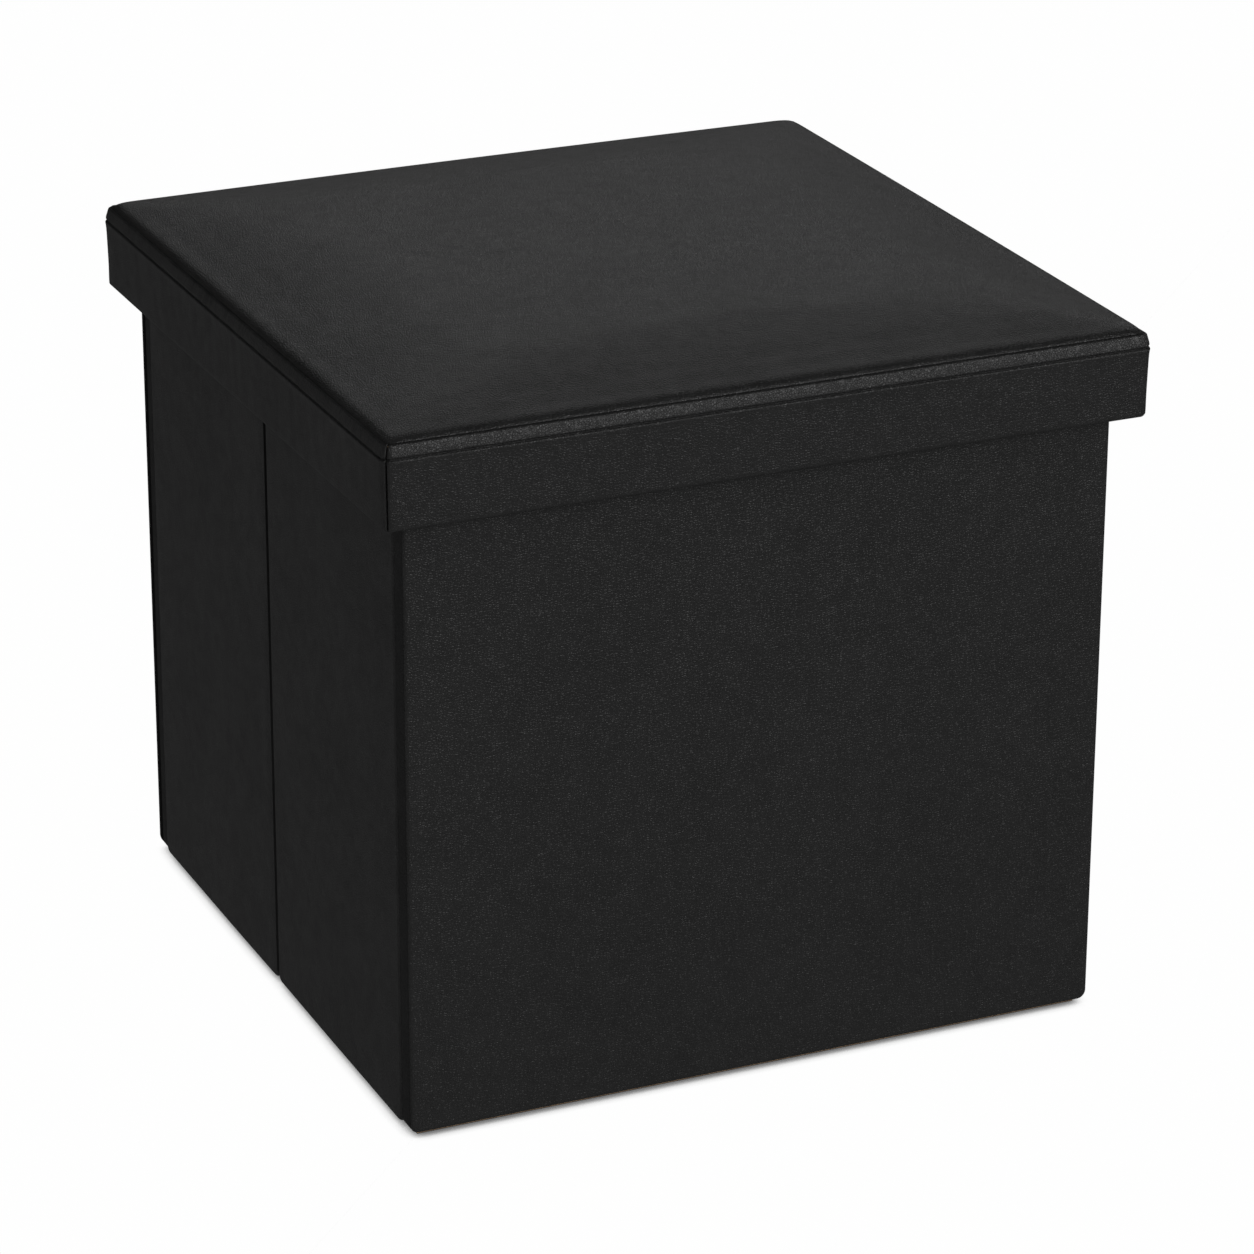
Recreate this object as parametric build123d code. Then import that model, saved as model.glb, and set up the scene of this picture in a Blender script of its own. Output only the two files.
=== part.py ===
from build123d import *
import os

# Folding storage ottoman: four cloth-covered walls on a thin base, and a padded lid that lifts off.
# Millimetres, +Z up. The origin is on the floor, under the middle of the box; -Y is the front.

# Outer sizes
lid_side = 384.0
body_side = 357.0
seat_height = 366.5
seam_height = 349.5
skirt_bottom = 308.5

# Sheet goods
leather = 1.0
liner = 1.0
front_board_thickness = 10.0
side_board_thickness = 4.5
lid_board_thickness = 4.0
band_thickness = 1.8
edge_wrap = 1.8
rim_thickness = 7.2
base_cloth = 0.3
base_board_thickness = 1.7
base_recess = 5.0
wall_corner_radius = 4.0
board_edge_radius = 1.8
rim_corner_radius = 5.0

# Clearances between pieces that move past each other
clearance = 0.3

# Staples inside the lid's skirt
staple_wire = 0.7
staple_crown = 10.0
staple_leg = 4.0
staple_height = 328.5
staples_per_side = 5
staple_pitch = 70.0

# Sizes that follow from these
body_half = body_side / 2
front_thickness = leather + front_board_thickness + liner
side_thickness = leather + side_board_thickness + liner
base_top = base_cloth + base_board_thickness + base_cloth
wall_bottom = base_top + clearance
lid_board_top = seam_height - leather
lid_board_bottom = lid_board_top - lid_board_thickness
lid_underside = lid_board_bottom - liner
wall_top = lid_underside - clearance
wall_height = wall_top - wall_bottom
wall_inner_y = body_half - front_thickness
half_length = wall_inner_y - 2 * clearance
rim_outer_half = lid_side / 2 - band_thickness
rim_inner_half = rim_outer_half - rim_thickness
skirt_inner_half = rim_inner_half - leather
rim_bottom = skirt_bottom + leather


def block(x_min, x_max, y_min, y_max, z_min, z_max):
    """A box given by its six faces."""
    size = (x_max - x_min, y_max - y_min, z_max - z_min)
    middle = ((x_min + x_max) / 2, (y_min + y_max) / 2, (z_min + z_max) / 2)
    return Pos(*middle) * Box(*size)


def plate(half_side, z_min, z_max):
    """A square sheet centred on the Z axis."""
    return block(-half_side, half_side, -half_side, half_side, z_min, z_max)


def save(shape, node):
    export_step(shape, f"parts/{node}.step")


def wall_sheet(length, margin, y_min, y_max):
    """An upright sheet with rounded corners, set in by a margin all round from the wall's own outline."""
    half = length / 2 - margin
    sheet = block(-half, half, y_min, y_max, wall_bottom + margin, wall_top - margin)
    return fillet(sheet.edges().filter_by(Axis.Y), wall_corner_radius - margin)


def wall_pieces(length, thickness):
    """Board, wrapped cover and liner of one wall, its outer face on y = 0 and facing -Y."""
    liner_face = thickness - liner
    body = wall_sheet(length, 0, 0, thickness)
    board = wall_sheet(length, edge_wrap, leather, liner_face)
    board = fillet(board.faces().sort_by(Axis.Y)[0].edges(), board_edge_radius)
    lining = wall_sheet(length, edge_wrap, liner_face, thickness)
    cover = body - board - lining
    return {"board": board, "cover": cover, "liner": lining}


def make_wall(name, length, thickness, x, y, turn):
    """Places one wall and writes its three pieces."""
    for piece, shape in wall_pieces(length, thickness).items():
        save(Location((x, y, 0), (0, 0, turn)) * shape, f"{name}_{piece}")


def make_walls():
    """Front and back are one panel each; each side is two halves with the fold between them."""
    make_wall("front", body_side, front_thickness, 0, -body_half, 0)
    make_wall("back", body_side, front_thickness, 0, body_half, 180)
    half_middle = clearance + half_length / 2
    for side, x, turn in (("left", -body_half, -90), ("right", body_half, 90)):
        make_wall(f"{side}_front", half_length, side_thickness, x, -half_middle, turn)
        make_wall(f"{side}_rear", half_length, side_thickness, x, half_middle, turn)


def make_base():
    """Thin stiff floor between two cloths, tucked under the lower edges of the walls."""
    half = body_half - base_recess
    board_top = base_cloth + base_board_thickness
    save(plate(half, 0, base_cloth), "base_cloth")
    save(plate(half, base_cloth, board_top), "base_board")
    save(plate(half, board_top, base_top), "floor_liner")


def side_turns():
    """The four sides of the lid and how far each one is turned from the front."""
    return (("front", 0), ("right", 90), ("back", 180), ("left", 270))


def make_lid_frame():
    """Top board on four rim strips, lined underneath; the outer corners are rounded."""
    board = plate(rim_outer_half, lid_board_bottom, lid_board_top)
    save(fillet(board.edges().filter_by(Axis.Z), rim_corner_radius), "lid_board")
    save(plate(rim_inner_half, lid_underside, lid_board_bottom), "lid_liner")
    for side, turn in side_turns():
        # The front and back strips run full length and the other two fit between them.
        length_half = rim_outer_half if side in ("front", "back") else rim_inner_half
        strip = block(-length_half, length_half, -rim_outer_half, -rim_inner_half, rim_bottom, lid_board_bottom)
        if length_half == rim_outer_half:
            outer_corners = strip.edges().filter_by(Axis.Z).sort_by(Axis.Y)[:2]
            strip = fillet(outer_corners, rim_corner_radius)
        save(Rot(0, 0, turn) * strip, f"lid_rim_{side}")


def make_lid_pad():
    """Foam slab with rolled top edges, and the leather panel over it."""
    foam_half = rim_outer_half - clearance
    foam = plate(foam_half, lid_board_top, seat_height - leather)
    panel = plate(foam_half + leather, seam_height, seat_height)
    top_roll = 14.0
    corner_roll = 5.0
    foam = fillet(foam.edges().filter_by(Axis.Z), corner_roll - leather)
    foam = fillet(foam.faces().sort_by(Axis.Z)[-1].edges(), top_roll - leather)
    panel = fillet(panel.edges().filter_by(Axis.Z), corner_roll)
    panel = fillet(panel.faces().sort_by(Axis.Z)[-1].edges(), top_roll)
    save(foam, "lid_foam")
    save(panel - foam, "lid_top_panel")


def make_lid_bands():
    """Leather skirt: one band a side, wrapped under the rim and up its inner face, mitred where it is sewn."""
    ring = plate(lid_side / 2, skirt_bottom, seam_height)
    ring = fillet(ring.edges().filter_by(Axis.Z), rim_corner_radius + leather)
    ring = ring - plate(skirt_inner_half, skirt_bottom, seam_height)
    rim_space = plate(rim_outer_half, rim_bottom, seam_height)
    rim_space = fillet(rim_space.edges().filter_by(Axis.Z), rim_corner_radius)
    ring = ring - (rim_space - plate(rim_inner_half, rim_bottom, lid_underside))
    corner = lid_side / 2
    wedge_face = make_face(Polyline((0, 0), (-corner, -corner), (corner, -corner), close=True))
    wedge = Pos(0, 0, skirt_bottom) * extrude(wedge_face, amount=seam_height - skirt_bottom)
    for side, turn in side_turns():
        save(ring & (Rot(0, 0, turn) * wedge), f"lid_band_{side}")


def make_staples():
    """Wire staples that hold the bands to the inner face of the rims."""
    crown_y = -skirt_inner_half
    leg_x = (staple_crown - staple_wire) / 2
    low = staple_height - staple_wire / 2
    high = staple_height + staple_wire / 2
    crown = block(-staple_crown / 2, staple_crown / 2, crown_y, crown_y + staple_wire, low, high)
    leg = block(-staple_wire / 2, staple_wire / 2, crown_y - staple_leg, crown_y, low, high)
    staple = crown + Pos(-leg_x, 0, 0) * leg + Pos(leg_x, 0, 0) * leg
    staples = []
    for side, turn in side_turns():
        for index in range(staples_per_side):
            offset = (index - (staples_per_side - 1) / 2) * staple_pitch
            staples.append(Rot(0, 0, turn) * Pos(offset, 0, 0) * staple)
    save(Compound(children=staples), "lid_staples")


os.makedirs("parts", exist_ok=True)
make_walls()
make_base()
make_lid_frame()
make_lid_pad()
make_lid_bands()
make_staples()
fold_arm = wall_inner_y - clearance
print("side fold pivots, mm: corners at", body_half - side_thickness, fold_arm, "middle at", body_half + clearance, 0)
print("floor to wall top", wall_bottom, wall_top, "lid underside", lid_underside, "skirt inner half", skirt_inner_half)
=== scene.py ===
# %% [markdown]
# # A folding storage ottoman in black faux leather
# The box has a front and a back wall of one panel each, and two sides that fold inwards at their middle.
# A padded lid with a sewn skirt sits over it like a cap. The CAD model is loaded first and stays where it
# is. Everything below either gives a CAD piece its finish or stands in front of it with a softer, sewn
# shape.

# %% Load the frame
import bpy
import bmesh
import math
from mathutils import Matrix, Vector, noise


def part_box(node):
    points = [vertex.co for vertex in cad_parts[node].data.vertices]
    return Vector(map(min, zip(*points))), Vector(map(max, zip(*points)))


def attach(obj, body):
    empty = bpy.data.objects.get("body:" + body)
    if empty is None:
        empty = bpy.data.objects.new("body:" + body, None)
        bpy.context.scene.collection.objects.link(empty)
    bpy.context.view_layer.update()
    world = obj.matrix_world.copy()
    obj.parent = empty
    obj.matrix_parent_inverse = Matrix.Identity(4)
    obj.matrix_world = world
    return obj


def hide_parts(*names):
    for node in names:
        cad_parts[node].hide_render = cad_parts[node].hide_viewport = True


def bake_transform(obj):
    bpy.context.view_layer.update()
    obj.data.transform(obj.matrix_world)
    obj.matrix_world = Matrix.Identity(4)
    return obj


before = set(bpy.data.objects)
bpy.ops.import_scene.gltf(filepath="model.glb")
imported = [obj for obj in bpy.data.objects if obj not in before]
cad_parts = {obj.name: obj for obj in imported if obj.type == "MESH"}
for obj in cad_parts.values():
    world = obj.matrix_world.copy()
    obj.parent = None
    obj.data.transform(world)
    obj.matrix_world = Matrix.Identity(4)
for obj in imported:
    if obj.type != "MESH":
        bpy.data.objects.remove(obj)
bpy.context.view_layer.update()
MM = 0.001

# %% [markdown]
# ## Where the pieces are
# The boxes of the CAD nodes give every size that the sewn pieces need. The lid's skirt gives the widest
# outline, its top edge is the seam with the seat, and the front cover gives the wall's thickness and
# height.

# %% Sizes from the CAD nodes
skirt_low, skirt_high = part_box("lid_band_front")
LID_HALF = -skirt_low[1]
SEAM_Z = skirt_high[2]
HEM_Z = skirt_low[2]
_, seat_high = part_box("lid_top_panel")
CROWN = seat_high[2] - SEAM_Z
LINING_IN = LID_HALF + skirt_high[1]
print("lid half", LID_HALF, "seam", SEAM_Z, "hem", HEM_Z, "crown", CROWN, "skirt depth", LINING_IN)

# %% [markdown]
# ## Camera
# The box is seen from its front left corner, from a little above. The camera is placed by a heading, a
# pitch and a distance to a point near the middle of the box, which is how a photographer would describe
# it.

# %% Camera
CAMERA_HEADING = math.radians(24.08)
CAMERA_PITCH = math.radians(22.18)
CAMERA_ROLL = math.radians(0.20)
CAMERA_DISTANCE = 2.482
CAMERA_TARGET = Vector((0.0061, -0.0093, 0.1645))


def look_direction(heading, pitch):
    """A unit vector: heading turns from +Y towards +X, pitch is below the horizon."""
    level = math.cos(pitch)
    return Vector((math.sin(heading) * level, math.cos(heading) * level, -math.sin(pitch)))


view_direction = look_direction(CAMERA_HEADING, CAMERA_PITCH)
camera_data = bpy.data.cameras.new("studio_camera")
camera_data.sensor_width = 36.0
camera_data.lens = 143.96
camera = bpy.data.objects.new("studio_camera", camera_data)
bpy.context.scene.collection.objects.link(camera)
turned = view_direction.to_track_quat("-Z", "Y").to_matrix().to_4x4()
place = Matrix.Translation(CAMERA_TARGET - view_direction * CAMERA_DISTANCE)
camera.matrix_world = place @ turned @ Matrix.Rotation(CAMERA_ROLL, 4, "Z")
bpy.context.scene.camera = camera
bpy.context.scene.view_settings.view_transform = "Standard"
print("camera at", [round(value, 3) for value in camera.matrix_world.translation])

# %% [markdown]
# ## Shader maths
# A material is a small network of nodes. Written node by node it is hard to read, so one class wraps a
# socket and lets a pattern be written as a sum: `1 - mask` adds a Math node. Its `node` method makes
# every other kind.


# %% Shader maths
class Wire:
    """A node tree's output socket that can be used in Python sums."""

    def __init__(self, tree, socket=None):
        self.tree = tree
        self.socket = socket

    def node(self, kind, settings=None, values=None, output=0):
        """Adds a node: its settings first, then the values or links of its inputs."""
        made = self.tree.nodes.new(kind)
        for key, setting in (settings or {}).items():
            setattr(made, key, setting)
        for key, value in (values or {}).items():
            if isinstance(value, Wire):
                self.tree.links.new(value.socket, made.inputs[key])
            else:
                made.inputs[key].default_value = value
        return Wire(self.tree, made.outputs[output])

    def math(self, operation, first, second=0.0, third=0.0):
        return self.node("ShaderNodeMath", {"operation": operation}, {0: first, 1: second, 2: third})

    def __add__(self, other):
        return self.math("ADD", self, other)

    __radd__ = __add__

    def __sub__(self, other):
        return self.math("SUBTRACT", self, other)

    def __rsub__(self, other):
        return self.math("SUBTRACT", other, self)

    def __mul__(self, other):
        return self.math("MULTIPLY", self, other)

    __rmul__ = __mul__

    def smooth(self, low, high):
        """0 below low, 1 above high, and an easy curve between them."""
        limits = {"Value": self, "From Min": low, "From Max": high}
        return self.node("ShaderNodeMapRange", {"interpolation_type": "SMOOTHSTEP"}, limits)

    def noise(self, at, scale, detail=2.0, roughness=0.5, output=0):
        values = {"Vector": at, "Scale": scale, "Detail": detail, "Roughness": roughness}
        return self.node("ShaderNodeTexNoise", None, values, output)

    def blend(self, share, first, second):
        """A colour between two colours."""
        return self.node("ShaderNodeMix", {"data_type": "RGBA"}, {0: share, 6: first, 7: second}, 2)


def grey(value):
    return (value, value, value, 1.0)


def new_material(name):
    """A material, a Wire to start from, and its shader node."""
    material = bpy.data.materials.new(name)
    material.use_nodes = True
    shader = material.node_tree.nodes["Principled BSDF"]
    return material, Wire(material.node_tree), shader


def connect(wire, shader, socket):
    wire.tree.links.new(wire.socket, shader.inputs[socket])


def add_bump(wire, height, depth, shader, strength=1.0):
    """Relief in metres, without moving the surface."""
    bump = wire.node("ShaderNodeBump", None, {"Height": height, "Distance": depth, "Strength": strength})
    connect(bump, shader, "Normal")


print("shader helpers ready")

# %% [markdown]
# ## Faux leather
# The cover is cloth coated with black vinyl and pressed with a pebble grain: small rounded cells about a
# millimetre wide with fine valleys between them. Cells come from a Voronoi texture whose coordinates are
# stirred a little, so that no two cells are alike. Soft clouds change the gloss, as rolled vinyl does.
# A vertex attribute marks seams, folds, stitch holes, hinge strips and the edges and ends of the walls: there
# the surface is duller, and its colour is darkened as painted shade.

# %% Faux leather material
LEATHER_DARK = grey(0.0068)
LEATHER_LIGHT = grey(0.0120)
# Near black, used as painted shade in seams, folds and stitch holes.
LEATHER_PAINTED_SHADE = grey(0.0015)
PEBBLES_PER_METRE = 820.0
GRAIN_DEPTH = 0.14 * MM


def make_leather(name, relief):
    material, wire, shader = new_material(name)
    at = wire.node("ShaderNodeTexCoord", output=3)
    stir = wire.noise(at, 420.0, 2.0, output=1)
    reach = (0.0009,) * 3
    stirred = wire.node("ShaderNodeVectorMath", {"operation": "MULTIPLY_ADD"}, {0: stir, 1: reach, 2: at})
    settings = {"feature": "DISTANCE_TO_EDGE"}
    cells = wire.node("ShaderNodeTexVoronoi", settings, {"Vector": stirred, "Scale": PEBBLES_PER_METRE})
    pebbles = cells.smooth(0.0, 0.28)
    pores = wire.noise(at, 2600.0, 2.0)
    clouds = wire.noise(at, 17.0, 4.0, 0.6)
    patches = wire.noise(at, 120.0, 3.0, 0.55)
    crease_shade = wire.node("ShaderNodeAttribute", {"attribute_name": "crease_shade"}, output=2)
    sheen = clouds.smooth(0.3, 0.7) * 0.35 + patches.smooth(0.3, 0.7) * 0.65
    tone = sheen * 0.55 + pebbles * 0.45
    # Where the marking attribute is high the colour goes towards near black: painted shade in the creases.
    # The raised roughness there is the duller leather of a fold.
    tone = tone * (1 - crease_shade)
    colour = wire.blend(tone, LEATHER_DARK, LEATHER_LIGHT)
    colour = wire.blend(crease_shade, colour, LEATHER_PAINTED_SHADE)
    connect(colour, shader, "Base Color")
    gloss = 0.43 - sheen * 0.06 - pebbles * 0.05
    connect(gloss + crease_shade * 0.35, shader, "Roughness")
    shader.inputs["Specular IOR Level"].default_value = 0.42
    height = pebbles * 0.8 + pores * 0.3 + patches * 1.0
    add_bump(wire, height, relief, shader)
    return material


leather = make_leather("pebbled_leather", GRAIN_DEPTH)
print("made", leather.name, "with", len(leather.node_tree.nodes), "nodes")

# %% [markdown]
# ## Lining, board, foam and wire
# Inside, the box is lined with thin non-woven cloth: pressed fibres with a grid of small bonded dimples.
# The stiff parts are fibreboard. The skirt is held to its rim by zinc wire staples. Each gets its own
# pattern at its real scale, even where only a lifted lid shows it.


# %% Inner materials
def make_lining():
    material, wire, shader = new_material("lining_cloth")
    at = wire.node("ShaderNodeTexCoord", output=3)
    grid = wire.node("ShaderNodeTexVoronoi", None, {"Vector": at, "Scale": 420.0, "Randomness": 0.0})
    dimples = 1 - grid.smooth(0.12, 0.34)
    fibres = wire.noise(at, 1900.0, 4.0, 0.7)
    clouds = wire.noise(at, 60.0, 3.0)
    tone = fibres * 0.6 + clouds * 0.4
    colour = wire.blend(tone.smooth(0.3, 0.75), grey(0.012), grey(0.034))
    connect(wire.blend(dimples * 0.6, colour, grey(0.009)), shader, "Base Color")
    connect(0.92 - dimples * 0.22, shader, "Roughness")
    shader.inputs["Specular IOR Level"].default_value = 0.3
    add_bump(wire, fibres * 0.5 - dimples, 0.00016, shader)
    return material


def make_fibreboard():
    material, wire, shader = new_material("fibreboard")
    at = wire.node("ShaderNodeTexCoord", output=3)
    flecks = wire.noise(at, 900.0, 4.0, 0.7)
    clouds = wire.noise(at, 40.0, 3.0)
    tone = flecks.smooth(0.35, 0.7) * 0.7 + clouds * 0.3
    connect(wire.blend(tone, (0.16, 0.095, 0.05, 1.0), (0.36, 0.25, 0.15, 1.0)), shader, "Base Color")
    connect(0.85 - flecks * 0.15, shader, "Roughness")
    add_bump(wire, flecks, 0.0001, shader)
    return material


def make_foam():
    material, wire, shader = new_material("foam")
    at = wire.node("ShaderNodeTexCoord", output=3)
    bubbles = wire.node("ShaderNodeTexVoronoi", None, {"Vector": at, "Scale": 1200.0}).smooth(0.1, 0.6)
    clouds = wire.noise(at, 30.0, 3.0)
    colour = wire.blend(bubbles * 0.6 + clouds * 0.4, (0.42, 0.40, 0.33, 1.0), (0.72, 0.70, 0.62, 1.0))
    connect(colour, shader, "Base Color")
    connect(0.95 - bubbles * 0.1, shader, "Roughness")
    add_bump(wire, bubbles, 0.0003, shader)
    return material


def make_wire_finish():
    material, wire, shader = new_material("staple_wire")
    at = wire.node("ShaderNodeTexCoord", output=3)
    spangle = wire.noise(at, 700.0, 3.0)
    connect(wire.blend(spangle, (0.34, 0.35, 0.37, 1.0), (0.62, 0.63, 0.65, 1.0)), shader, "Base Color")
    connect(0.25 + spangle * 0.25, shader, "Roughness")
    shader.inputs["Metallic"].default_value = 1.0
    add_bump(wire, spangle, 0.00003, shader)
    return material


def make_thread():
    material, wire, shader = new_material("thread")
    at = wire.node("ShaderNodeTexCoord", output=3)
    twist = wire.noise(at, 2400.0, 2.0)
    connect(wire.blend(twist, grey(0.006), grey(0.02)), shader, "Base Color")
    connect(0.6 + twist * 0.2, shader, "Roughness")
    shader.inputs["Specular IOR Level"].default_value = 0.35
    add_bump(wire, twist, 0.00006, shader)
    return material


lining = make_lining()
fibreboard = make_fibreboard()
foam = make_foam()
staple_wire = make_wire_finish()
thread = make_thread()
print("made", ", ".join(made.name for made in (lining, fibreboard, foam, staple_wire, thread)))


# %% Give the CAD nodes their finishes
def finish_of(node):
    """The finish that suits a CAD node, told from the end of its name."""
    if "staples" in node:
        return staple_wire
    if "foam" in node:
        return foam
    if node.endswith("_liner") or node == "base_cloth":
        return lining
    if node.endswith("_board") or "_rim_" in node:
        return fibreboard
    return leather


for node_name, node_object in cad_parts.items():
    slots = node_object.data.materials
    for index in range(max(len(slots), 1)):
        if len(slots) <= index:
            slots.append(finish_of(node_name))
        slots[index] = finish_of(node_name)
print("finished", len(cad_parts), "CAD nodes")

# %% [markdown]
# ## Making a piece
# Every new piece starts as a bmesh, becomes an object at the origin with its place in its mesh, takes its
# material, and, when it is given a body of the CAD model, rides on it, so that it moves with the part it
# belongs to.


# %% Helpers for new pieces
def make_piece(name, bm, material, body, replaced=()):
    """Turns a bmesh into a finished piece."""
    bmesh.ops.recalc_face_normals(bm, faces=bm.faces)
    mesh = bpy.data.meshes.new(name)
    bm.to_mesh(mesh)
    bm.free()
    mesh.shade_smooth()
    mesh.materials.append(material)
    piece = bpy.data.objects.new(name, mesh)
    bpy.context.scene.collection.objects.link(piece)
    if body:
        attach(piece, body)
    if replaced:
        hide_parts(*replaced)
    print(name, len(mesh.polygons), "faces")
    return piece


def bell(distance, width):
    """1 at nothing, falling away smoothly over about one width."""
    return math.exp(-((distance / width) ** 2))


def ease(share):
    """0 to 1 with flat ends."""
    share = min(max(share, 0.0), 1.0)
    return share * share * (3.0 - 2.0 * share)


def new_block(length, depth, low, high):
    """A box along X, its outer face on y = 0 facing -Y."""
    bm = bmesh.new()
    bmesh.ops.create_cube(bm, size=1.0)
    bmesh.ops.scale(bm, vec=(length, depth, high - low), verts=bm.verts)
    bmesh.ops.translate(bm, vec=(0.0, depth / 2, (low + high) / 2), verts=bm.verts)
    return bm


def round_edges(bm, edges, radius, segments):
    return bmesh.ops.bevel(
        bm,
        geom=list(edges),
        offset=radius,
        offset_type="OFFSET",
        affect="EDGES",
        segments=segments,
        profile=0.5,
        material=-1,
    )


def slice_at(bm, axis, places):
    """Cuts rows of new edges across the piece, where it will bend."""
    for place_along in places:
        point = [0.0, 0.0, 0.0]
        normal = [0.0, 0.0, 0.0]
        point[axis] = place_along
        normal[axis] = 1.0
        geometry = list(bm.verts) + list(bm.edges) + list(bm.faces)
        bmesh.ops.bisect_plane(bm, geom=geometry, plane_co=point, plane_no=normal, dist=1e-6)


print("piece helpers ready")

# %% [markdown]
# ## Wall covers
# Each wall is a board wrapped in leather, open on the inner face, where the lining is glued in. A block
# is rounded at its four corners and round its outer face, sliced where it will be shaped, and hollowed by
# insetting the inner face and pushing it in until it meets the back of the outer skin. The front and back
# walls are thick, and their ends show on the sides as narrow bands, drawn in at the corner seam. The side
# halves lean in a little at the fold.

# %% Wall cover shapes
SKIN = 1.0 * MM
HEM_WRAP = 1.8 * MM
CORNER_ROUND = 4.6 * MM
FACE_ROUND = 1.9 * MM
SEAM_FROM_FACE = 2.3 * MM


def shape_thick_end(vert, half, depth, crease_shade):
    """The end of a front or back wall: a seam behind the corner, then a band drawn in at the seam."""
    beyond = abs(vert.co.x) - (half - 1.5 * MM)
    if beyond <= 0 or vert.co.y < 1.2 * MM:
        return
    y = vert.co.y
    seam = bell(y - SEAM_FROM_FACE, 0.95 * MM)
    band = 1.05 * MM * (1 - 0.55 * ease((y - SEAM_FROM_FACE) / (8.0 * MM)))
    joint = 0.75 * MM * bell(y - depth, 0.8 * MM)
    pull = max(band if y > SEAM_FROM_FACE else 0.0, joint) + 0.8 * MM * seam
    vert.co.x -= math.copysign(min(pull, 1.7 * MM) * min(beyond / (1.5 * MM), 1.0), vert.co.x)
    # The seam and the drawn-in band behind it are darkened in colour: painted shade.
    shade = 0.45 * ease((y - SEAM_FROM_FACE) / (0.6 * MM)) * ease((depth - y) / MM)
    vert[crease_shade] = max(vert[crease_shade], 1.0 * seam, shade)


def shape_fold_end(vert, half, sign, softness, crease_shade):
    """The edge of a side half at the fold: the leather turns in softly, over a width of softness."""
    along = half - sign * vert.co.x
    if vert.co.y < 1.7 * MM:
        lean = 0.3 * MM * ease(1 - along / (70 * MM))
        turn = 0.6 * MM * ease(1 - along / softness) ** 1.5
        vert.co.y += (lean + turn) * (1 - vert.co.y / (1.7 * MM))
    # A dark line along the fold's edge: painted shade.
    vert[crease_shade] = max(vert[crease_shade], 0.7 * bell(along, 1.0 * MM))


def wall_cover(length, depth, low, high, folds=()):
    """A wall's leather in its own frame. folds lists (end, softness) of the ends that are folds."""
    half = length / 2
    bm = new_block(length, depth, low, high)
    upright = [e for e in bm.edges if abs(e.verts[0].co.y - e.verts[1].co.y) > depth / 2]
    round_edges(bm, upright, CORNER_ROUND, 6)
    face_rim = [e for e in bm.edges if all(v.co.y < 1e-6 for v in e.verts)]
    round_edges(bm, face_rim, FACE_ROUND, 5)
    inner = [f for f in bm.faces if all(v.co.y > depth - 1e-6 for v in f.verts)]
    bmesh.ops.inset_region(bm, faces=inner, thickness=HEM_WRAP, use_even_offset=True)
    inner = [f for f in bm.faces if all(v.co.y > depth - 1e-6 for v in f.verts) and len(f.verts) > 8]
    hollow = list({v for f in inner for v in f.verts})
    bmesh.ops.translate(bm, vec=(0.0, SKIN + 0.05 * MM - depth, 0.0), verts=hollow)
    crease_shade = bm.verts.layers.float.new("crease_shade")
    if folds:
        rows = (2.6, 3.4, 4.4, 5.6, 7.0, 8.6, 10.5, 16, 28, 45, 70)
        for sign, _ in folds:
            slice_at(bm, 0, [sign * (half - value * MM) for value in rows])
        slice_at(bm, 0, [(value - 0.5) * length * 0.8 for value in (0.1, 0.9)])
    else:
        depths = (1.95, 2.15, 2.4, 2.7, 3.1, 3.6, 4.2, 5.2, 7.0, 9.0, 10.6, 11.3, 11.7)
        slice_at(bm, 1, [value * MM for value in depths])
        slice_at(bm, 0, [sign * (half - value * MM) for sign in (-1, 1) for value in (2.4, 6.0, 30.0)])
    slice_at(bm, 2, [low + 2.6 * MM, low + 6 * MM, high - 6 * MM, high - 2.6 * MM])
    for vert in bm.verts:
        for sign, softness in folds:
            shape_fold_end(vert, half, sign, softness, crease_shade)
        if not folds:
            shape_thick_end(vert, half, depth, crease_shade)
        # A thin darkening along the top and bottom edges of each wall: painted shade.
        outline = min(vert.co.z - low, high - vert.co.z)
        vert[crease_shade] = max(vert[crease_shade], 0.35 * bell(outline, 0.9 * MM))
    return bm


def place_wall(bm, x, y, turn):
    """Turns a wall from its own frame to its place round the box."""
    spot = Matrix.Translation((x, y, 0)) @ Matrix.Rotation(turn, 4, "Z")
    bmesh.ops.transform(bm, matrix=spot, verts=bm.verts)


print("wall shapes ready")

# %% Front and back walls
front_low, front_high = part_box("front_cover")
BODY_HALF = front_high[0]
THICK = front_high[1] - front_low[1]
WALL_LOW = front_low[2]
WALL_HIGH = front_high[2]
for wall_name, wall_y, wall_turn in (("front", -BODY_HALF, 0.0), ("back", BODY_HALF, math.pi)):
    wall = wall_cover(2 * BODY_HALF, THICK, WALL_LOW, WALL_HIGH)
    place_wall(wall, 0.0, wall_y, wall_turn)
    body_name = f"{wall_name}_wall"
    make_piece(f"{body_name}_leather", wall, leather, body_name, replaced=[f"{wall_name}_cover"])
print("walls stand from", WALL_LOW, "to", WALL_HIGH)

# %% Side halves
rear_low, rear_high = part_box("left_rear_cover")
HALF_LENGTH = rear_high[1] - rear_low[1]
HALF_MIDDLE = (rear_high[1] + rear_low[1]) / 2
THIN = rear_high[0] - rear_low[0]
for side, side_x, side_turn in (("left", -BODY_HALF, -math.pi / 2), ("right", BODY_HALF, math.pi / 2)):
    for half_name, half_sign in (("front", -1), ("rear", 1)):
        # On the left the wall's own +X points to the front of the box, and on the right to its rear.
        fold_end = half_sign if side == "left" else -half_sign
        softness = 9.5 * MM if half_name == "rear" else 2.6 * MM
        cover = wall_cover(HALF_LENGTH, THIN, WALL_LOW, WALL_HIGH, [(fold_end, softness)])
        place_wall(cover, side_x, half_sign * HALF_MIDDLE, side_turn)
        half_of = f"{side}_{half_name}"
        make_piece(f"{half_of}_leather", cover, leather, f"{half_of}_panel", replaced=[f"{half_of}_cover"])
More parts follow.
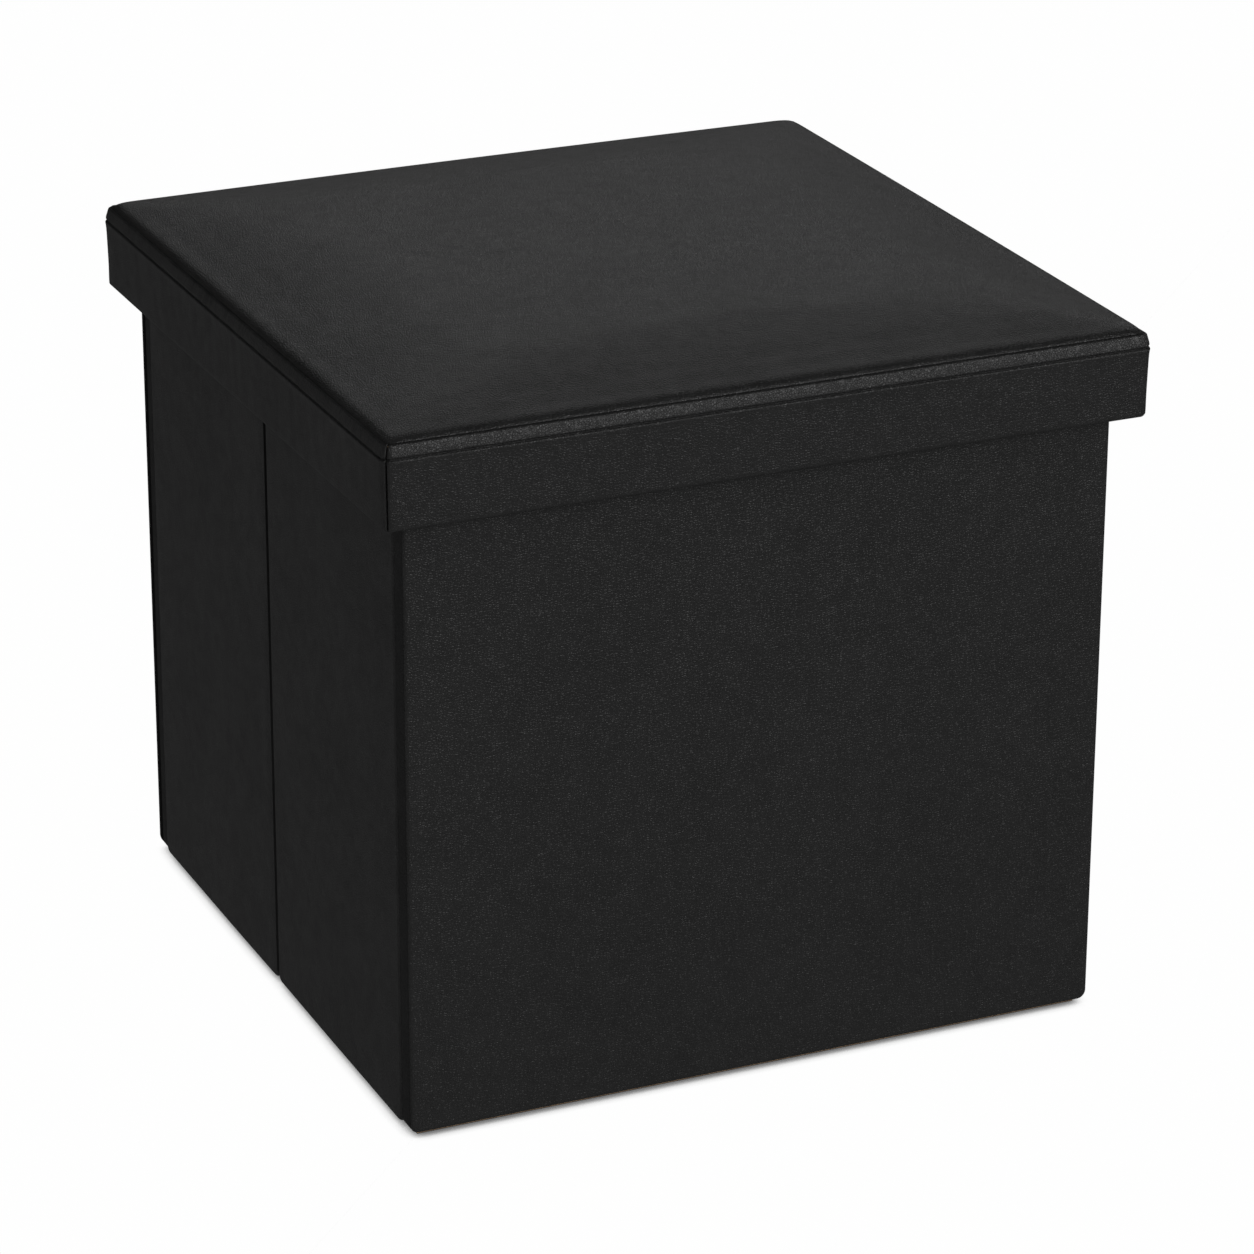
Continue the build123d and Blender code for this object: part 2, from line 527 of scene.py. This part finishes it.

# %% [markdown]
# ## Hinge strips
# The leather runs on across each fold and each corner, and is the hinge itself. A narrow strip lies in the
# bottom of every fold and corner joint. A strip where two walls meet is left where it is made and rides on
# neither of them. The front right corner has no joint in the model, so its strip belongs to the front wall.


# %% Hinge strips
def hinge_strip(name, across, sag, bodies, line_x, line_y, turn):
    """A strip along Z where two walls meet. It is made facing -Y and then turned; across is half its width.
    """
    bm = bmesh.new()
    steps = 6
    row = [bm.verts.new((-across + 2 * across * step / steps, 0.0, 0.0)) for step in range(steps + 1)]
    edges = [bm.edges.new(pair) for pair in zip(row, row[1:])]
    height = WALL_HIGH - WALL_LOW - 9 * MM
    grown = bmesh.ops.extrude_edge_only(bm, edges=edges)["geom"]
    bmesh.ops.translate(bm, vec=(0, 0, height), verts=[g for g in grown if isinstance(g, bmesh.types.BMVert)])
    bmesh.ops.translate(bm, vec=(0, 0, WALL_LOW + 4.5 * MM), verts=bm.verts)
    bmesh.ops.solidify(bm, geom=list(bm.faces), thickness=0.25 * MM)
    crease_shade = bm.verts.layers.float.new("crease_shade")
    for vert in bm.verts:
        middle = 1 - abs(vert.co.x) / across
        vert.co.y += sag * ease(middle) + 0.75 * MM
        # The whole strip is darkened in colour: painted shade of the fold it lies in.
        vert[crease_shade] = 0.9
    spot = Matrix.Translation((line_x, line_y, 0))
    bmesh.ops.transform(bm, matrix=spot @ Matrix.Rotation(turn, 4, "Z"), verts=bm.verts)
    piece = make_piece(name, bm, leather, bodies[0] if len(bodies) == 1 else None)
    if len(bodies) == 2:
        middle = Vector((line_x, line_y, 0))
        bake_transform(piece)
    return piece


JOINT_Y = BODY_HALF - THICK
for side, side_x, side_turn in (("left", -BODY_HALF, -math.pi / 2), ("right", BODY_HALF, math.pi / 2)):
    rear_body, front_body = f"{side}_rear_panel", f"{side}_front_panel"
    pair = [rear_body, front_body] if side == "left" else [front_body, rear_body]
    hinge_strip(f"{side}_fold_strip", 1.7 * MM, 0.5 * MM, pair, side_x, 0.0, side_turn)
    pair = ["back_wall", rear_body] if side == "left" else [rear_body, "back_wall"]
    hinge_strip(f"{side}_back_strip", 2.2 * MM, 0.7 * MM, pair, side_x, JOINT_Y, side_turn)
    pair = [front_body, "front_wall"] if side == "left" else ["front_wall"]
    hinge_strip(f"{side}_front_strip", 2.2 * MM, 0.7 * MM, pair, side_x, -JOINT_Y, side_turn)

# %% [markdown]
# ## Skirt of the lid
# Four bands of padded leather, sewn to the seat along the top and to each other at the corners. A row of
# topstitching under the seam traps the seam allowance and makes a rounded welt above it. One outline of
# the band is drawn from the seam down, round the lower edge and up the inside, then drawn out along the
# side in short steps, one for every quarter of a stitch, so that each stitch can pinch the leather.

# %% Skirt outline
STITCH = 4.4 * MM
STITCH_DROP = 6.75 * MM
TAPER = 0.9 * MM
WELT_LEAN = 2.15 * MM
LID_ROUND = 5.5 * MM
HEM_ROUND = 1.6 * MM
DEEP = SEAM_Z - HEM_Z - HEM_ROUND


def skirt_outward(drop):
    """How far the skirt stands out from its nominal face at a depth below the seam."""
    out = 0.3 * MM - TAPER * drop / (SEAM_Z - HEM_Z)
    out -= 0.7 * MM * bell(drop - STITCH_DROP, 0.5 * MM)
    out += 0.22 * MM * bell(drop - STITCH_DROP - 1.3 * MM, 1.0 * MM)
    out -= 0.9 * MM * bell(drop, 0.45 * MM)
    if drop < STITCH_DROP:
        out -= WELT_LEAN * (1 - drop / STITCH_DROP) ** 1.25
    return out


def skirt_outline():
    """(outward, height) points from the seam round to the inner face, in order."""
    drops = [0.0, 0.25, 0.5, 0.75, 1.05, 1.4, 1.9, 2.6, 3.4, 4.2, 4.9, 5.5, 5.9, 6.2, 6.45, 6.6, 6.75, 6.9]
    drops += [7.1, 7.35, 7.7, 8.2, 9.0, 10.5, 13.0, 16.0, 20.0, 24.0, 28.0, 32.0, 36.0, 38.6]
    points = [(-5.0 * MM, SEAM_Z - 0.8 * MM)]
    points += [(skirt_outward(drop * MM), SEAM_Z - drop * MM) for drop in drops]
    foot = points[-1][0]
    for step in range(1, 7):
        angle = math.pi / 2 * step / 6
        out = foot - HEM_ROUND * (1 - math.cos(angle))
        points.append((out, HEM_Z + HEM_ROUND * (1 - math.sin(angle))))
    points += [(-6.0 * MM, HEM_Z), (-LINING_IN + 1.2 * MM, HEM_Z + 0.1 * MM)]
    points += [(-LINING_IN + 0.3 * MM, HEM_Z + 0.6 * MM), (-LINING_IN, HEM_Z + 1.8 * MM)]
    points += [(-LINING_IN, HEM_Z + 14 * MM), (-LINING_IN, SEAM_Z - 6.2 * MM)]
    return points


outline = skirt_outline()
print("skirt outline has", len(outline), "points")


# %% Skirt bands
def band_steps():
    """Distances from the corner seam: close together at the corner, then four to a stitch."""
    near = [0.0, 0.35, 0.7, 1.1, 1.6, 2.3, 3.2, 4.4, 6.0, 8.0]
    steps = [value * MM for value in near]
    stitch_count = round(2 * LID_HALF / STITCH)
    quarter = 2 * LID_HALF / stitch_count / 4
    first = math.ceil(9.0 * MM / quarter)
    last = stitch_count * 2
    steps += [quarter * index for index in range(first, last + 1)]
    return steps, 4 * quarter


def round_corner(co, radius):
    """Moves a point of a square-cornered ring onto a ring with rounded corners."""
    along = radius - (LID_HALF - abs(co.x))
    across = radius - (LID_HALF - abs(co.y))
    if along <= 0 or across <= 0:
        return
    shrink = max(along, across) / math.hypot(along, across)
    co.x = math.copysign(LID_HALF - radius + along * shrink, co.x)
    co.y = math.copysign(LID_HALF - radius + across * shrink, co.y)


def band_detail(co, out, height, stitch, seed):
    """Pinches at the stitches, faint ripples below them and puckers in the welt; the second value is painted
    shade along the row of stitch holes.
    """
    drop = SEAM_Z - height
    if out < -3.4 * MM or drop > DEEP:
        return 0.0, 0.0
    hole = bell((co.x / stitch - round(co.x / stitch)) * stitch, 0.6 * MM)
    row = bell(drop - STITCH_DROP, 0.55 * MM)
    push = -0.28 * MM * hole * row
    ripple = noise.noise(Vector((co.x * 110, seed, drop * 18)))
    push += 0.32 * MM * ripple * ease((drop - 7.5 * MM) / (6 * MM)) * ease((DEEP - drop) / (10 * MM))
    pucker = noise.noise(Vector((co.x * 300, seed + 9.0, drop * 60)))
    push += 0.10 * MM * pucker * ease(drop / (1.5 * MM)) * ease((8 * MM - drop) / (1.5 * MM))
    # Darker along the stitch row and most at the holes: painted shade.
    return push, row * (0.25 + 0.7 * hole)


def make_band(seed):
    """One band facing -Y."""
    steps, stitch = band_steps()
    places = [-(LID_HALF - value) for value in steps] + [LID_HALF - value for value in reversed(steps[:-1])]
    bm = bmesh.new()
    crease_shade = bm.verts.layers.float.new("crease_shade")
    ring = [bm.verts.new((0.0, -(LID_HALF + out), height)) for out, height in outline]
    loop = [bm.edges.new((ring[index - 1], ring[index])) for index in range(len(ring))]
    edges = loop
    rows = [ring]
    for _ in places[1:]:
        grown = bmesh.ops.extrude_edge_only(bm, edges=edges)["geom"]
        new_verts = [g for g in grown if isinstance(g, bmesh.types.BMVert)]
        new_edges = [g for g in grown if isinstance(g, bmesh.types.BMEdge)]
        edges = [edge for edge in new_edges if all(v in new_verts for v in edge.verts)]
        rows.append(new_verts)
    return bm, rows, places, stitch, crease_shade


print("band helpers ready")

# %% [markdown]
# The rows of a drawn-out band all start in one place. Each row is then moved to its step along the side,
# with the mitre at both ends, so the order of its points doesn't matter: a point's depth in the skirt is
# read from where it is, and pushes, ripples and the corner seam follow from that.


# %% Build the four bands
def lay_rows(rows, places, stitch, crease_shade, seed):
    """Moves each row of a band to its step and works in the detail."""
    for row, place_x in zip(rows, places):
        from_corner = LID_HALF - abs(place_x)
        mitre = max(0.0, 1 - from_corner / (20 * MM))
        for vert in row:
            out = -vert.co.y - LID_HALF
            height = vert.co.z
            vert.co.x = place_x + out * mitre * math.copysign(1, place_x)
            push, stitch_shade = band_detail(vert.co, out, height, stitch, seed)
            # The corner seam, the stitch row and the seam line at the top are darkened in colour below:
            # painted shade.
            seam = bell(from_corner, 0.55 * MM) if out > -3 * MM else 0.0
            swell = 0.18 * MM * bell(from_corner - 2.2 * MM, 1.3 * MM) if out > -3 * MM else 0.0
            vert.co.y -= push + swell
            vert[crease_shade] = min(1.0, stitch_shade + 0.9 * seam)
            if out > -3.4 * MM and height > SEAM_Z - 2 * MM:
                vert[crease_shade] = max(vert[crease_shade], 0.95 * bell(SEAM_Z - height, 0.3 * MM))
            round_corner(vert.co, LID_ROUND)
            inward = Vector((-math.copysign(1, place_x), 1, 0)) * 0.8 * MM * seam
            vert.co += inward * ease((SEAM_Z - height + 0.3 * MM) / MM)


for index, side in enumerate(("front", "right", "back", "left")):
    band, rows, places, stitch_pitch, crease_shade_layer = make_band(float(index))
    lay_rows(rows, places, stitch_pitch, crease_shade_layer, float(index) * 3.7)
    bmesh.ops.holes_fill(band, edges=[e for e in band.edges if e.is_boundary], sides=0)
    turned_to_side = Matrix.Rotation(index * math.pi / 2, 3, "Z")
    bmesh.ops.rotate(band, cent=(0, 0, 0), matrix=turned_to_side, verts=band.verts)
    make_piece(f"skirt_{side}", band, leather, "lid", replaced=[f"lid_band_{side}"])

# %% [markdown]
# ## Topstitching
# A lockstitch shows as a row of short dashes that dip into a hole at each end. One stitch is a stretched
# sphere with few faces. It is copied along the side and tilted very slightly, as thread is by its twist.


# %% Topstitch rows
def stitch_row(pitch):
    """All the stitches of the front side."""
    bm = bmesh.new()
    count = round(2 * LID_HALF / pitch)
    out = skirt_outward(STITCH_DROP) + 0.02 * MM
    for index in range(2, count - 2):
        at_x = -LID_HALF + (index + 0.5) * pitch
        lean = 0.09 + 0.04 * noise.noise(Vector((index * 1.7, 0.3, 0.0)))
        place_here = Matrix.Translation((at_x, -(LID_HALF + out), SEAM_Z - STITCH_DROP))
        turn = Matrix.Rotation(lean, 4, "Y")
        size = Matrix.Diagonal((1.75 * MM, 0.34 * MM, 0.27 * MM, 1.0))
        bmesh.ops.create_uvsphere(bm, u_segments=6, v_segments=5, radius=1.0, matrix=place_here @ turn @ size)
    return bm


for index, side in enumerate(("front", "right", "back", "left")):
    stitches = stitch_row(stitch_pitch)
    turned_to_side = Matrix.Rotation(index * math.pi / 2, 3, "Z")
    bmesh.ops.rotate(stitches, cent=(0, 0, 0), matrix=turned_to_side, verts=stitches.verts)
    make_piece(f"topstitch_{side}", stitches, thread, "lid")

# %% [markdown]
# ## Padded seat
# The seat is a foam slab under stretched leather, sewn down all round. A block with rolled edges is
# remeshed into an even skin and filled by a short cloth simulation with its rim held. How far a point may
# move is capped, and near the seam only a share of it shows, so the edge rolls over as stretched leather
# does. A low dome is added over the whole seat, then one subdivision smooths the skin.

# %% Seat cushion
SEAT_IN = 2.4 * MM
SEAT_FOOT = 4.0 * MM
VOXEL = 4.0 * MM
EDGE_RISE = 2.4 * MM
ROLL = 2.2 * MM
FILLING = 6.5 * MM
SLOPE_WIDTH = 34.0 * MM


def seat_blank():
    """The slab before it is filled."""
    half = LID_HALF - SEAT_IN
    bm = new_block(2 * half, 2 * half, SEAM_Z - SEAT_FOOT, SEAM_Z + EDGE_RISE)
    bmesh.ops.translate(bm, vec=(0, -half, 0), verts=bm.verts)
    upright = [e for e in bm.edges if abs(e.verts[0].co.z - e.verts[1].co.z) > MM]
    round_edges(bm, upright, 5.0 * MM, 5)
    top = [e for e in bm.edges if all(v.co.z > SEAM_Z + EDGE_RISE - 0.1 * MM for v in e.verts)]
    round_edges(bm, top, ROLL, 7)
    return bm


def remesh(piece, size):
    """An even skin of small faces."""
    modifier = piece.modifiers.new("Even skin", "REMESH")
    modifier.mode = "VOXEL"
    modifier.voxel_size = size
    keep_shape(piece)


def slope_share(place_at):
    """How much of the filling shows: it grows steeply from the seam and levels out, as over foam."""
    share = 1.0
    for value in (place_at.x, place_at.y):
        short = 1 - min(max(LID_HALF - SEAT_IN - abs(value), 0.0) / SLOPE_WIDTH, 1.0)
        share *= math.sqrt(1 - short * short)
    return share


def keep_shape(piece):
    """Writes what the modifiers show into the mesh, and removes them."""
    graph = bpy.context.evaluated_depsgraph_get()
    shown = bpy.data.meshes.new_from_object(piece.evaluated_get(graph))
    piece.modifiers.clear()
    old = piece.data
    piece.data = shown
    bpy.data.meshes.remove(old)


def fill_with_air(piece, pressure, cap, held_below):
    """Cloth with pressure inside and its foot held still. No point sinks or moves past cap."""
    start = [(vert.co.copy(), vert.normal.copy()) for vert in piece.data.vertices]
    held = piece.vertex_groups.new(name="held")
    held.add([v.index for v in piece.data.vertices if v.co.z < held_below], 1.0, "REPLACE")
    cloth = piece.modifiers.new("Fill", "CLOTH")
    cloth.settings.quality = 5
    cloth.settings.mass = 0.3
    cloth.settings.tension_stiffness = 18.0
    cloth.settings.compression_stiffness = 18.0
    cloth.settings.bending_stiffness = 0.6
    cloth.settings.use_pressure = True
    cloth.settings.uniform_pressure_force = pressure
    cloth.settings.vertex_group_mass = "held"
    cloth.settings.effector_weights.gravity = 0.0
    for step in range(1, 21):
        bpy.context.scene.frame_set(step)
    keep_shape(piece)
    bpy.context.scene.frame_set(1)
    for vert, (origin, normal) in zip(piece.data.vertices, start):
        rise = min(max((vert.co - origin).dot(normal), 0.0), cap)
        vert.co = origin + normal * rise * slope_share(origin)
    piece.vertex_groups.clear()


seat_mesh = seat_blank()
seat = make_piece("seat_cushion", seat_mesh, leather, "lid", replaced=["lid_top_panel", "lid_foam"])
remesh(seat, VOXEL)
print("seat skin has", len(seat.data.vertices), "points")
fill_with_air(seat, 4.0, FILLING, SEAM_Z + 0.3 * MM)
tops = [vert.co.z for vert in seat.data.vertices]
print("seat rises to", max(tops) - SEAM_Z, "above the seam")


# %% Settle the seat
def settle_seat(piece, rise):
    """Smooths the skin, sets the rise of the middle, and keeps the rim inside the seam."""
    bm = bmesh.new()
    bm.from_mesh(piece.data)
    for _ in range(2):
        all_ways = {"use_axis_x": True, "use_axis_y": True, "use_axis_z": True}
        bmesh.ops.smooth_vert(bm, verts=bm.verts, factor=0.5, **all_ways)
    top = max(v.co.z for v in bm.verts) - SEAM_Z
    widest = max(abs(v.co.x) for v in bm.verts)
    limit = LID_HALF - SEAT_IN
    for vert in bm.verts:
        above = vert.co.z - SEAM_Z
        if above > 0:
            dome = (1 - (vert.co.x / LID_HALF) ** 2) * (1 - (vert.co.y / LID_HALF) ** 2)
            vert.co.z = SEAM_Z + above + dome * max(rise - top, 0.0)
        for axis in (0, 1):
            if abs(vert.co[axis]) > 0.9 * widest:
                vert.co[axis] = math.copysign(min(abs(vert.co[axis]) * limit / widest, limit), vert.co[axis])
    bm.verts.layers.float.new("crease_shade")
    bm.to_mesh(piece.data)
    bm.free()
    piece.data.shade_smooth()


settle_seat(seat, CROWN)
if not seat.data.materials:
    seat.data.materials.append(leather)
finer = seat.modifiers.new("Smooth skin", "SUBSURF")
finer.levels = 1
finer.render_levels = 1
print("seat", len(seat.data.polygons), "faces before smoothing")

# %% [markdown]
# ## Studio
# A pale floor that fades into the background, and two soft boxes. One behind the ottoman gives the seat
# its sheen, the other in front of it picks out the welt and the grain. The floor shines white but isn't
# mirrored in the leather: a second, dim sheet under it is what the leather mirrors, as in a studio with a
# dark surround.


# %% Floor
def flat_sheet(name, height, strength):
    """A large glowing sheet."""
    bm = bmesh.new()
    bmesh.ops.create_grid(bm, x_segments=1, y_segments=1, size=30.0)
    bmesh.ops.translate(bm, vec=(0, 0, height), verts=bm.verts)
    mesh = bpy.data.meshes.new(name)
    bm.to_mesh(mesh)
    bm.free()
    sheet = bpy.data.objects.new(name, mesh)
    bpy.context.scene.collection.objects.link(sheet)
    material, wire, shader = new_material(name)
    shader.inputs["Base Color"].default_value = grey(0.0)
    shader.inputs["Specular IOR Level"].default_value = 0.0
    shader.inputs["Roughness"].default_value = 1.0
    shader.inputs["Emission Strength"].default_value = strength
    mesh.materials.append(material)
    return sheet, wire, shader


floor, floor_wire, floor_shader = flat_sheet("floor", 0.0, 1.0)
# The floor's glow is darkened next to the ottoman by an ambient occlusion node: a painted contact shadow.
painted_contact_shadow = floor_wire.node("ShaderNodeAmbientOcclusion", {"samples": 8}, {"Distance": 0.009}, 1)
colour = floor_wire.blend(painted_contact_shadow.smooth(0.0, 0.75), grey(0.10), grey(0.992))
connect(colour, floor_shader, "Emission Color")
floor.visible_glossy = False
mirror_floor, _, mirror_shader = flat_sheet("mirror_floor", -0.004, 0.075)
mirror_shader.inputs["Emission Color"].default_value = grey(1.0)
mirror_floor.visible_camera = False
mirror_floor.visible_diffuse = False
print("floor laid")


# %% Lights
def soft_box(name, place_at, width, height, radiance):
    """A rectangular light that faces the ottoman."""
    light = bpy.data.lights.new(name, "AREA")
    light.shape = "RECTANGLE"
    light.size = width
    light.size_y = height
    light.energy = radiance * math.pi * width * height
    lamp = bpy.data.objects.new(name, light)
    bpy.context.scene.collection.objects.link(lamp)
    direction = Vector((0, 0, 0.2)) - Vector(place_at)
    lamp.matrix_world = Matrix.Translation(place_at) @ direction.to_track_quat("-Z", "Y").to_matrix().to_4x4()
    lamp.visible_camera = False
    return lamp


soft_box("back_box", (1.35, 2.55, 1.52), 2.5, 1.1, 0.72)
soft_box("front_box", (1.35, -3.05, 1.6), 2.4, 0.9, 6.4)
world = bpy.data.worlds.new("studio")
bpy.context.scene.world = world
world.use_nodes = True
world.node_tree.nodes["Background"].inputs["Color"].default_value = grey(1.0)
world.node_tree.nodes["Background"].inputs["Strength"].default_value = 1.0
world.cycles_visibility.glossy = False
print("lights set")
